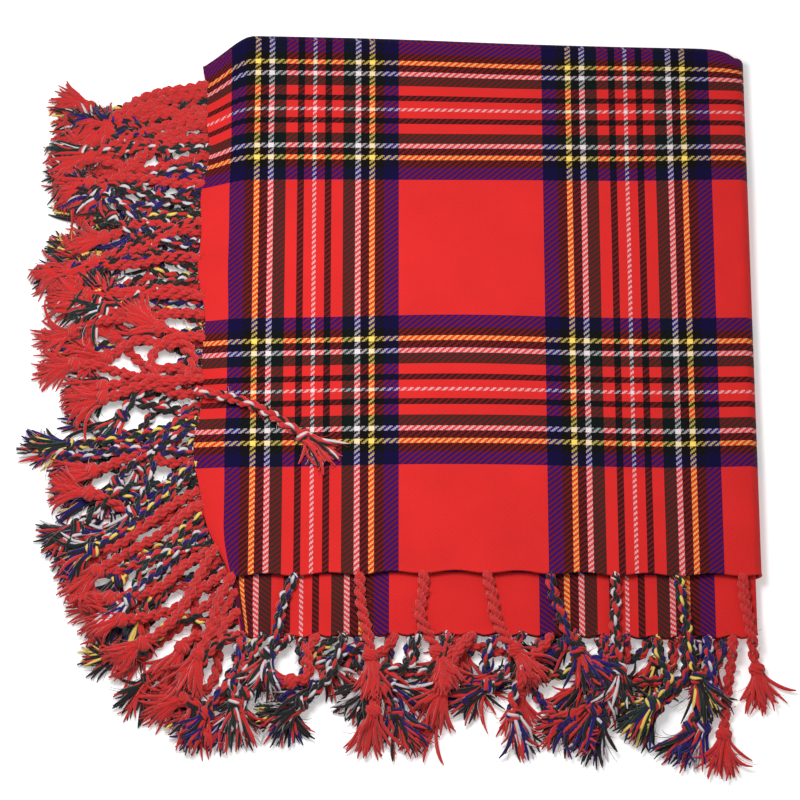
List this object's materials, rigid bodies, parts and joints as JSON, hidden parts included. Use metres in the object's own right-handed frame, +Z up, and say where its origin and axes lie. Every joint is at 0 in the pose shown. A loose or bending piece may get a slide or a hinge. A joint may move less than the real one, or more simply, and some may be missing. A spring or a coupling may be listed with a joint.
{
  "type": "folded throw blanket",
  "caption": "Square tartan throw with a twisted, knotted fringe on all sides, folded in quarters; the upper half opens round its side fold.",
  "frame": {"origin": "centre of the underside of the whole folded throw, fringe included, on the surface it lies on", "axes": "+Z up, +X along the top fold towards the side fold, +Y towards the top fold"},
  "size_m": [0.6044, 0.6455, 0.023],
  "materials": {
    "woven_tartan": "2/2 twill woven tartan, red ground with navy, green-black, yellow and white lines, soft brushed nap",
    "fringe_twist": "thick two-ply twisted yarn, red or mixed tartan colours",
    "fringe_knot": "overhand knot in twisted yarn",
    "fringe_tuft": "loose fluffy yarn ends, red or mixed tartan colours"
  },
  "bodies": {
    "lower_half": {"back_bottom_lower_knots": "fringe_knot", "back_bottom_lower_strands": "fringe_twist", "back_bottom_lower_tufts": "fringe_tuft", "back_left_lower_knots": "fringe_knot", "back_left_lower_strands": "fringe_twist", "back_left_lower_tufts": "fringe_tuft", "back_panel_lower": "woven_tartan", "front_bottom_lower_knots": "fringe_knot", "front_bottom_lower_strands": "fringe_twist", "front_bottom_lower_tufts": "fringe_tuft", "front_left_lower_knots": "fringe_knot", "front_left_lower_strands": "fringe_twist", "front_left_lower_tufts": "fringe_tuft", "front_panel_lower": "woven_tartan", "side_fold_inner": "woven_tartan", "side_fold_outer": "woven_tartan", "top_fold_lower": "woven_tartan"},
    "upper_half": {"back_bottom_upper_knots": "fringe_knot", "back_bottom_upper_strands": "fringe_twist", "back_bottom_upper_tufts": "fringe_tuft", "back_left_upper_knots": "fringe_knot", "back_left_upper_strands": "fringe_twist", "back_left_upper_tufts": "fringe_tuft", "back_panel_upper": "woven_tartan", "front_bottom_upper_knots": "fringe_knot", "front_bottom_upper_strands": "fringe_twist", "front_bottom_upper_tufts": "fringe_tuft", "front_left_upper_knots": "fringe_knot", "front_left_upper_strands": "fringe_twist", "front_left_upper_tufts": "fringe_tuft", "front_panel_upper": "woven_tartan", "stray_knot": "fringe_knot", "stray_strand": "fringe_twist", "stray_tuft": "fringe_tuft", "top_fold_upper": "woven_tartan"}
  },
  "joints": [
    {"name": "side_fold", "type": "hinge", "parent": "lower_half", "child": "upper_half", "pos_m": [0.29275, 0, 0.0095], "axis": [0, 1, 0], "range_deg": [0, 180], "deforming": ["side_fold_inner", "side_fold_outer"]}
  ]
}
